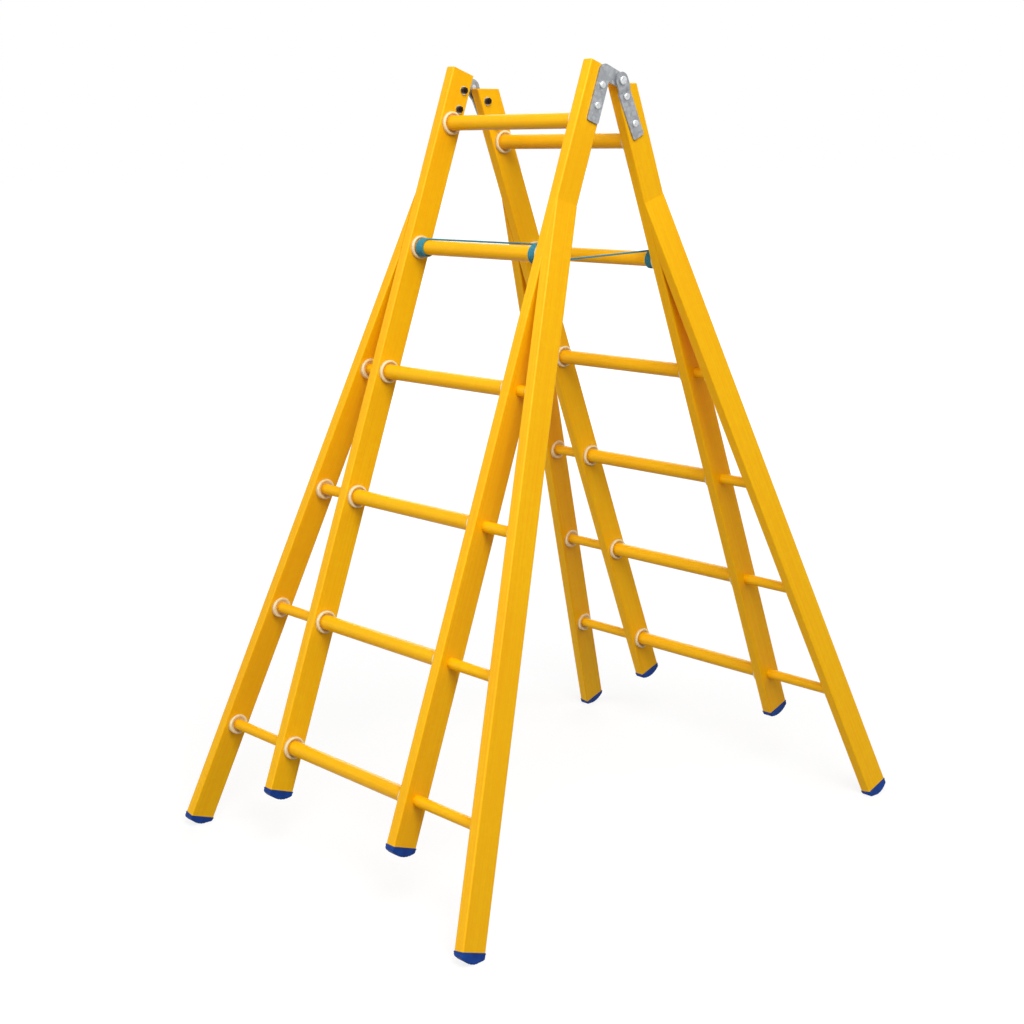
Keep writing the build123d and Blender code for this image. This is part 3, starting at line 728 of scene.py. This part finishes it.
@dataclass(frozen=True)
class EndMouldings:
    """Blue mouldings under the stiles and legs: a beaded wall with an arched, grooved sole."""

    proud: float = 0.9 * MM
    wall: float = 10.0 * MM
    bulge: float = 10.0 * MM
    edge_round: float = 1.8 * MM
    groove_pitch: float = 7.5 * MM
    groove_depth: float = 0.9 * MM
    groove_steepness: float = 2.2
    groove_from: float = 0.45
    bead_height: float = 0.8 * MM
    bead_span: tuple[float, float] = (0.3 * MM, 3.6 * MM)
    tuck: float = 2.0 * MM
    end_band: float = 0.5 * MM
    rows: int = 97
    columns: int = 15
    wall_rings: int = 6
    bead_rings: int = 8

    def half_size(self) -> tuple[float, float, float]:
        """Half width, half depth and corner radius of the moulding's outline."""
        return STANCE.width / 2 + self.proud, STANCE.depth / 2 + self.proud, STANCE.corner + self.proud

    def inset(self, across: np.ndarray, deep: np.ndarray) -> np.ndarray:
        """Distance of points inside the rounded outline from it, as a rounded box's distance field gives it."""
        half_width, half_depth, corner = self.half_size()
        past_x = np.abs(across) - (half_width - corner)
        past_y = np.abs(deep) - (half_depth - corner)
        outside = np.hypot(np.maximum(past_x, 0), np.maximum(past_y, 0))
        return corner - outside - np.minimum(np.maximum(past_x, past_y), 0)

    def sole_grid(self) -> tuple[np.ndarray, np.ndarray]:
        """Spread a grid over the outline: even rows through the depth, each as wide as the outline is there."""
        half_width, half_depth, corner = self.half_size()
        deep = np.linspace(-half_depth, half_depth, self.rows)
        into_corner = np.maximum(np.abs(deep) - (half_depth - corner), 0)
        width = half_width - corner + np.sqrt(np.maximum(corner**2 - into_corner**2, 0))
        across = np.linspace(-1, 1, self.columns)[None] * width[:, None]
        return across, np.broadcast_to(deep[:, None], across.shape)

    def reach(self, end: np.ndarray, axes: np.ndarray, half: Half, across: np.ndarray, deep: np.ndarray) -> np.ndarray:
        """Work out how far the sole lies below the tube's end, measured down the limb.

        The sole is a cylinder along X. Its chord is square to the stiles, a wall's height below the tube, and it
        bulges below the chord. A line down the limb meets it where a quadratic has its larger root, and stops at
        the floor. Rounded edges draw up the rim, and grooves across the sole are clipped cosines.

        Args:
            end: Middle of the tube's end.
            axes: The limb's directions, as limb_axes gives them.
            half: Half that the limb is on.
            across: Places across the section.
            deep: Places through the depth from the section's middle, outward.

        Returns:
            Distance down the limb at each place.
        """
        radius = ((STANCE.depth / 2) ** 2 + self.bulge**2) / (2 * self.bulge)
        centre = end + STANCE.up_slope(half) * (radius - self.wall - self.bulge)
        start = end + axes[0] * across[..., None] + axes[1] * deep[..., None]
        fall = -axes[2]
        gap_y, gap_z = start[..., 1] - centre[1], start[..., 2] - centre[2]
        square = fall[1] ** 2 + fall[2] ** 2
        mixed = fall[1] * gap_y + fall[2] * gap_z
        rest = gap_y**2 + gap_z**2 - radius**2
        on_arch = (-mixed + np.sqrt(mixed**2 - square * rest)) / square
        on_floor = start[..., 2] / axes[2][2]
        inside = np.clip(self.inset(across, deep), 0, self.edge_round)
        drawn_up = self.edge_round - np.sqrt(self.edge_round**2 - (self.edge_round - inside) ** 2)
        wave = np.cos(2 * math.pi * deep / self.groove_pitch)
        groove = self.groove_depth * np.clip(self.groove_steepness * (wave - self.groove_from), 0, 1)
        return np.minimum(on_arch, on_floor) - drawn_up - groove

    def build_one(self, limb: Limb, half: Half, side: Side, finish: bpy.types.Material) -> None:
        """Build one moulding: the sole's grid, and rings from its rim up the wall and over the lip.

        Args:
            limb: Stile or leg that it is under.
            half: Half that carries it.
            side: Side that it is on.
            finish: Its material.
        """
        axes = STANCE.limb_axes(limb, half, side)
        tube = node_points(f"{limb.value}_{half.label}_{side.label}") @ axes.T
        rim = tube[tube[:, 2] < tube[:, 2].min() + self.end_band]
        end = np.array([*(rim[:, :2].max(0) + rim[:, :2].min(0)) / 2, tube[:, 2].min()]) @ axes
        across, deep = self.sole_grid()
        drop = self.reach(end, axes, half, across, deep)
        around = rim_order(self.rows, self.columns)
        rim_across, rim_deep, rim_drop = (grid.reshape(-1)[around] for grid in (across, deep, drop))
        normal = self.outline_normal(rim_across, rim_deep)
        top, low = self.bead_span
        climb = np.linspace(0, 1, self.wall_rings + 1)[1:, None]
        swell = np.linspace(0, 1, self.bead_rings + 1)[1:, None]
        wall_drop = rim_drop + (low - rim_drop) * climb
        bead_drop = np.repeat(low + (top - low) * swell, len(rim_drop), axis=1)
        drops = np.concatenate([wall_drop, bead_drop, bead_drop[-1:]])
        bead = -self.bead_height * np.sin(math.pi * swell)
        pull = np.concatenate([np.zeros_like(climb), bead, [[self.proud + self.tuck]]])
        wall_across = rim_across - normal[:, 0] * pull
        wall_deep = rim_deep - normal[:, 1] * pull
        flat = [
            np.concatenate([sole.reshape(-1), wall.reshape(-1), [middle]])
            for sole, wall, middle in ((across, wall_across, 0), (deep, wall_deep, 0), (drop, drops, top))
        ]
        points = end + flat[0][:, None] * axes[0] + flat[1][:, None] * axes[1] - flat[2][:, None] * axes[2]
        faces = self.faces(around, len(drops))
        faces = faces if half is Half.BACK else [block[:, ::-1] for block in faces]
        kind = "cap" if limb is Limb.STILE else "foot"
        piece = put_mesh(f"{limb.value}_{kind}_moulding_{half.label}_{side.label}", points, faces, finish)
        place_piece(piece, half, "foot", f"{limb.value}_{kind}_{half.label}_{side.label}")

    def outline_normal(self, across: np.ndarray, deep: np.ndarray) -> np.ndarray:
        """Outward direction of the rounded outline at points on it."""
        half_width, half_depth, corner = self.half_size()
        past = np.stack([np.abs(across) - (half_width - corner), np.abs(deep) - (half_depth - corner)], 1)
        straight = (past == past.max(1, keepdims=True)).astype(float)
        slope = np.where((past > 0).all(1, keepdims=True), np.maximum(past, 0), straight)
        return slope / np.linalg.norm(slope, axis=1, keepdims=True) * np.sign(np.stack([across, deep], 1))

    def faces(self, around: np.ndarray, rings: int) -> list[np.ndarray]:
        """Join the sole's grid, the rings above its rim and a fan that closes the top.

        Args:
            around: The grid's rim points in order.
            rings: Number of rings above the rim.

        Returns:
            The sole's quads, the wall's quads and the fan's triangles, pointing outward for the back half.
        """
        sole = grid_quads(self.rows, self.columns)
        first = self.rows * self.columns
        stacked = np.concatenate([around[None], first + np.arange(rings * len(around)).reshape(rings, -1)])
        stacked = np.concatenate([stacked, stacked[:, :1]], axis=1)
        corners = [stacked[:-1, :-1], stacked[:-1, 1:], stacked[1:, 1:], stacked[1:, :-1]]
        wall = np.stack(corners, -1).reshape(-1, 4)
        middle = np.full(len(around), first + rings * len(around))
        fan = np.stack([stacked[-1, :-1], stacked[-1, 1:], middle], -1)
        return [sole, wall, fan]

    def build(self) -> None:
        """Build all eight mouldings."""
        rubber = MouldedRubber("blue moulded rubber").material()
        for limb in Limb:
            for half in Half:
                for side in Side:
                    self.build_one(limb, half, side, rubber)


def rim_order(rows: int, columns: int) -> np.ndarray:
    """Indices of a grid's rim, in order round it."""
    index = np.arange(rows * columns).reshape(rows, columns)
    return np.concatenate([index[:, -1], index[-1, -2::-1], index[-2::-1, 0], index[0, 1:-1]])


@dataclass(frozen=True)
class Hinge:
    """Straps, pins, bolts, nuts and washers at the top, which keep their CAD shapes."""

    def dress(self) -> None:
        """Give the strip galvanising, the pins and bolts bright zinc, and the nuts a dark oiled coat."""
        strip = GalvanisedSteel("galvanised strip steel").material()
        bright = PlatedSteel("bright zinc plate").material()
        threaded = OiledThread("bright zinc plate with oiled thread").material()
        black = Layer("#211B17", start=0.4, full=0.75)
        oiled = PlatedSteel("oil-blackened steel", "#40362F", tarnished=black, smooth=0.38, dull=0.55).material()
        for half in Half:
            dress_node(f"strap_bolts_{half.label}", threaded)
            dress_node(f"strap_washers_{half.label}", bright)
            dress_node(f"strap_nuts_{half.label}", oiled)
            for side in Side:
                dress_node(f"hinge_strap_{half.label}_{side.label}", strip)
        for side in Side:
            dress_node(f"hinge_pin_{side.label}", bright)


@dataclass(frozen=True)
class SpreaderCord:
    """A plaited cord between the halves, wound on the second rungs beside their collars."""

    side: Side
    leaves_top: bool
    diameter: float = 4.0 * MM
    wind_radius: float = 18.1 * MM
    wind_pitch: float = 4.6 * MM
    turns: float = 4.5
    exit_place: float = 168.3 * MM
    tail: float = 4.0 * MM
    points_a_turn: int = 12
    straight_after: float = 24.0 * MM
    bend_after: float = 6.0 * MM
    line_order: int = 3
    line_detail: int = 16
    step: float = 0.8 * MM
    strands_a_way: int = 4
    lay: float = 16.0 * MM
    strand_sides: int = 6
    strand_width: float = 2.0 * MM
    strand_height: float = 0.8 * MM
    strand_circle: float = 1.5 * MM
    weave_height: float = 0.2 * MM

    def rung_centre(self, half: Half) -> np.ndarray:
        """Centre of the rung that the cord is wound on, at the winding's inner end."""
        low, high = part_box(f"rung_{half.label}_2")
        middle = (np.array(low) + np.array(high)) / 2
        return middle * [0, 1, 1] + ALONG * self.side.value * self.exit_place

    def run(self) -> tuple[np.ndarray, dict[Half, np.ndarray]]:
        """Direction of the taut stretch to the back, and the outward direction where it leaves each rung."""
        span = self.rung_centre(Half.BACK) - self.rung_centre(Half.FRONT)
        length = np.linalg.norm(span)
        ahead = span / length
        above = np.cross(ALONG, ahead)
        if self.leaves_top:
            return ahead, {Half.FRONT: above, Half.BACK: above}
        drop = 2 * self.wind_radius / length
        out_back = above * math.sqrt(1 - drop**2) - ahead * drop
        direction = span + out_back * 2 * self.wind_radius
        return direction / np.linalg.norm(direction), {Half.FRONT: -out_back, Half.BACK: out_back}

    def winding_route(self, half: Half) -> np.ndarray:
        """Control points of a winding from the taut stretch to its tail.

        The points stand on a helix at the middle of each step of the turn, as far out as makes the spline touch
        the winding's own radius between them. The last one is the end of the tail, which leaves on a tangent.
        """
        direction, outward = self.run()
        leaving, out, centre = -half.value * direction, outward[half], self.rung_centre(half)
        step = 2 * math.pi / self.points_a_turn
        angle = (np.arange(int(self.turns * self.points_a_turn)) + 0.5) * step
        radius = self.wind_radius / math.cos(step / 2)
        last = 2 * math.pi * self.turns
        along = self.side.value * self.wind_pitch * np.append(angle, last) / (2 * math.pi)
        helix = radius * (out * np.cos(angle)[:, None] - leaving * np.sin(angle)[:, None])
        tail = out * math.cos(last) * self.wind_radius - leaving * math.cos(last) * self.tail
        return centre + np.concatenate([helix, [tail]]) + ALONG * along[:, None]

    def route(self) -> np.ndarray:
        """Control points from the front winding's tail, over the taut stretch, to the back winding's tail."""
        direction, outward = self.run()
        leave = [self.rung_centre(half) + outward[half] * self.wind_radius for half in Half]
        touch = self.wind_radius * math.tan(math.pi / self.points_a_turn)
        taut = [
            leave[0] + direction * touch,
            leave[0] + direction * self.straight_after,
            leave[1] - direction * self.straight_after,
            leave[1] - direction * touch,
        ]
        return np.concatenate([self.winding_route(Half.FRONT)[::-1], taut, self.winding_route(Half.BACK)])

    def centreline(self) -> np.ndarray:
        """Read evenly spaced points from a smooth NURBS line through the route."""
        route = self.route()
        curve = bpy.data.curves.new("cord_line", "CURVE")
        curve.dimensions = "3D"
        spline = curve.splines.new("NURBS")
        spline.points.add(len(route) - 1)
        spline.points.foreach_set("co", np.column_stack([route, np.ones(len(route))]).ravel())
        spline.order_u = self.line_order
        spline.use_endpoint_u = True
        spline.resolution_u = self.line_detail
        bare = bpy.data.objects.new("cord_line", curve)
        mesh = bpy.data.meshes.new_from_object(bare)
        flat = np.zeros(len(mesh.vertices) * 3, np.float32)
        mesh.vertices.foreach_get("co", flat)
        bpy.data.meshes.remove(mesh)
        bpy.data.curves.remove(curve)
        line = flat.reshape(-1, 3).astype(float)
        travelled = np.concatenate([[0.0], np.cumsum(np.linalg.norm(np.diff(line, axis=0), axis=1))])
        even = np.linspace(0.0, travelled[-1], int(travelled[-1] / self.step))
        return np.stack([np.interp(even, travelled, line[:, axis]) for axis in range(3)], 1)

    def plait(self, line: np.ndarray) -> tuple[np.ndarray, np.ndarray]:
        """Work out the strands round a centreline.

        Four strands turn one way and four the other, each a flat ellipse on a helix. Their distance from the line
        is a cosine of the way along, and the two ways are out of step, so that they pass over and under in turn.

        Args:
            line: Evenly spaced points of the centreline.

        Returns:
            The strands' points, by strand, step and side, and the texture place of each.
        """
        ahead = np.gradient(line, axis=0)
        ahead /= np.linalg.norm(ahead, axis=1, keepdims=True)
        first = ALONG - ahead * (ahead @ ALONG)[:, None]
        first /= np.linalg.norm(first, axis=1, keepdims=True)
        second = np.cross(ahead, first)
        travelled = np.arange(len(line)) * np.linalg.norm(line[1] - line[0])
        way = np.repeat([1.0, -1.0], self.strands_a_way)[:, None]
        share = np.tile(np.arange(self.strands_a_way), 2)[:, None] / self.strands_a_way
        turn = 2 * math.pi * (way * travelled / self.lay + share)
        weave = np.cos(2 * math.pi * self.strands_a_way * travelled / self.lay)
        radius = self.strand_circle + way * self.weave_height * weave
        out = np.cos(turn)[..., None] * first + np.sin(turn)[..., None] * second
        round_it = -np.sin(turn)[..., None] * first + np.cos(turn)[..., None] * second
        slant = math.atan(2 * math.pi * self.strand_circle / self.lay)
        wide = round_it * math.cos(slant) - way[..., None] * ahead * math.sin(slant)
        side = np.linspace(0, 2 * math.pi, self.strand_sides, endpoint=False)
        flat = np.cos(side)[:, None] * wide[:, :, None] * self.strand_width / 2
        tall = np.sin(side)[:, None] * out[:, :, None] * self.strand_height / 2
        points = (line + out * radius[..., None])[:, :, None] + flat + tall
        uv = np.zeros((*points.shape[:3], 2))
        uv[..., 0] = np.arange(len(points))[:, None, None] + np.cos(side) / 2
        uv[..., 1] = travelled[:, None]
        return points, uv

    def build(self, finish: bpy.types.Material) -> None:
        """Args:
            finish: The cord's material.
        """
        line = self.centreline()
        points, uv = self.plait(line)
        strands, steps, sides = points.shape[:3]
        quads = repeat_faces(grid_quads(steps, sides, close_columns=True), strands, steps * sides)
        ends = np.arange(strands)[:, None] * steps * sides + np.arange(sides)
        closing = [ends, (ends + (steps - 1) * sides)[:, ::-1]]
        label = self.side.label
        name = f"spreader_cord_{label}"
        piece = put_mesh(name, points, [quads, *closing], finish, uv)
        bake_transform(piece)
        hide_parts(f"cord_{label}", *[f"cord_winding_{half.label}_{label}" for half in Half])


@dataclass(frozen=True)
class PhotoCamera:
    """The camera of the photograph, fitted to the rungs, stiles and feet in it."""

    from_apex: tuple[float, float, float] = (2.7677, -2.5718, -0.1332)
    yaw: float = math.radians(48.035)
    pitch: float = math.radians(-12.173)
    roll: float = math.radians(-0.668)
    focal_pixels: float = 1734.93
    image_pixels: float = 1024.0
    sensor: float = 36.0

    def build(self) -> None:
        """Place the camera and make it the scene's."""
        level_part = math.cos(self.pitch)
        ahead = Vector((-level_part * math.sin(self.yaw), level_part * math.cos(self.yaw), math.sin(self.pitch)))
        level = Vector((math.cos(self.yaw), math.sin(self.yaw), 0.0))
        upright = level.cross(ahead)
        right = level * math.cos(self.roll) + upright * math.sin(self.roll)
        up = upright * math.cos(self.roll) - level * math.sin(self.roll)
        data = bpy.data.cameras.new("photo camera")
        data.sensor_width = self.sensor
        data.lens = self.focal_pixels / self.image_pixels * self.sensor
        made = bpy.data.objects.new("photo camera", data)
        turn = Matrix((right, up, -ahead)).transposed().to_4x4()
        made.matrix_world = Matrix.Translation(Vector(self.from_apex) + Vector((0, 0, STANCE.apex))) @ turn
        bpy.context.scene.collection.objects.link(made)
        bpy.context.scene.camera = made


@dataclass(frozen=True)
class SoftSun:
    """A broad soft sun: its level and the direction that it shines from."""

    name: str
    level: float
    source: tuple[float, float, float]


@dataclass(frozen=True)
class Studio:
    """White paper floor, white surroundings, a softbox high on the front right, and broad soft suns on three sides."""

    floor_size: float = 120.0
    floor_drop: float = 0.2 * MM
    surround: float = 0.08
    suns: tuple[SoftSun, ...] = (
        SoftSun("front sun", 1.72, (-0.2, -0.92, 0.35)),
        SoftSun("right sun", 1.27, (0.8, 0.0, 0.6)),
        SoftSun("back left sun", 2.4, (-0.6, 0.78, 0.17)),
    )
    sun_softness: float = math.radians(60.0)
    box_power: float = 72.0
    box_size: float = 1.8
    box_at: tuple[float, float, float] = (2.0, -1.3, 3.4)
    aim: tuple[float, float, float] = (0.1, -0.1, 0.9)

    def build(self) -> None:
        """Set the view transform and build the floor, the surroundings and the lamps."""
        bpy.context.scene.view_settings.view_transform = "Standard"
        self.build_floor()
        self.build_surround()
        self.build_lamps()

    def build_floor(self) -> None:
        """Lay the paper just under the feet."""
        half = self.floor_size / 2
        corners = np.array([[-half, -half], [half, -half], [half, half], [-half, half]])
        points = np.column_stack([corners, np.full(4, -self.floor_drop)])
        paper = StudioPaper("white studio paper").material()
        put_mesh("paper_floor", points, [np.array([[0, 1, 2, 3]])], paper)

    def build_surround(self) -> None:
        """Make the surroundings white to the eye and a soft even light to the ladder."""
        world = bpy.data.worlds.new("white studio")
        bpy.context.scene.world = world
        world.use_nodes = True
        tree = world.node_tree
        tree.nodes.clear()
        light = add_node(tree, "Background", {"Color": linear(WHITE), "Strength": self.surround})
        white = add_node(tree, "Background", {"Color": linear(WHITE), "Strength": 1.0})
        both = add_node(tree, "MixShader", {0: add_seen(tree), 1: light.outputs[0], 2: white.outputs[0]})
        add_node(tree, "OutputWorld", {"Surface": both.outputs[0]})

    def build_lamps(self) -> None:
        """Hang the soft suns in front, on the right and behind on the left, and the softbox on the front right."""
        for sun in self.suns:
            lamp = bpy.data.lights.new(sun.name, "SUN")
            lamp.energy, lamp.angle = sun.level, self.sun_softness
            self.hang(lamp, Vector(sun.source), Vector((0, 0, 0)))
        box = bpy.data.lights.new("high right softbox", "AREA")
        box.energy, box.size = self.box_power, self.box_size
        self.hang(box, Vector(self.box_at), Vector(self.aim))

    def hang(self, lamp: bpy.types.Light, at: Vector, aim: Vector) -> None:
        """Put a lamp at a place, pointing at another."""
        made = bpy.data.objects.new(lamp.name, lamp)
        made.location = at
        made.rotation_mode = "QUATERNION"
        made.rotation_quaternion = (aim - at).to_track_quat("-Z", "Y")
        bpy.context.scene.collection.objects.link(made)


def main() -> None:
    """Build the camera, the cords, the rest of the ladder and the studio."""
    logging.basicConfig(level=logging.INFO, format="%(name)s: %(message)s")
    PhotoCamera().build()
    braid = BraidedPolyester("teal braided polyester").material()
    SpreaderCord(Side.LEFT, leaves_top=True).build(braid)
    SpreaderCord(Side.RIGHT, leaves_top=False).build(braid)
    Tubes().dress()
    Collars().build()
    EndMouldings().build()
    Hinge().dress()
    Studio().build()


if __name__ == "__main__":
    main()
